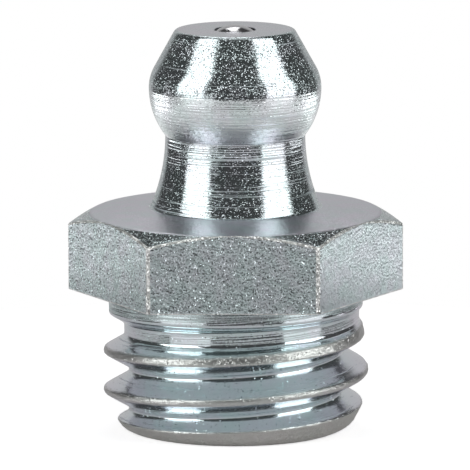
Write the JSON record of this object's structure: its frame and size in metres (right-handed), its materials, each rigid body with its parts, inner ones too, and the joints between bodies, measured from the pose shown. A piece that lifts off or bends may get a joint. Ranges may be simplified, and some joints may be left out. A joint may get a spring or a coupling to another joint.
{
  "type": "grease nipple",
  "caption": "Straight hexagon grease nipple with a threaded shank, coned coupler head and spring-loaded ball check valve.",
  "frame": {"origin": "centre of the threaded end's face, the lowest point of the part", "axes": "+Z along the nipple from the threaded end to the coupler head, hexagon corners on the X axis"},
  "size_m": [0.0126, 0.011, 0.0152],
  "materials": {
    "zinc_plated_steel": "turned steel under bright clear-passivated zinc plating, faint lilac and green tint",
    "bearing_steel": "polished bearing ball",
    "spring_wire": "drawn spring wire"
  },
  "bodies": {
    "body": {"nipple_body": "zinc_plated_steel", "return_spring": "spring_wire"},
    "ball": {"check_ball": "bearing_steel"}
  },
  "joints": [
    {"name": "ball_lift", "type": "slide", "parent": "body", "child": "ball", "axis": [0, 0, -1], "range_m": [0, 0.001], "stiffness_N_per_m": 300, "deforming": ["return_spring"]}
  ]
}
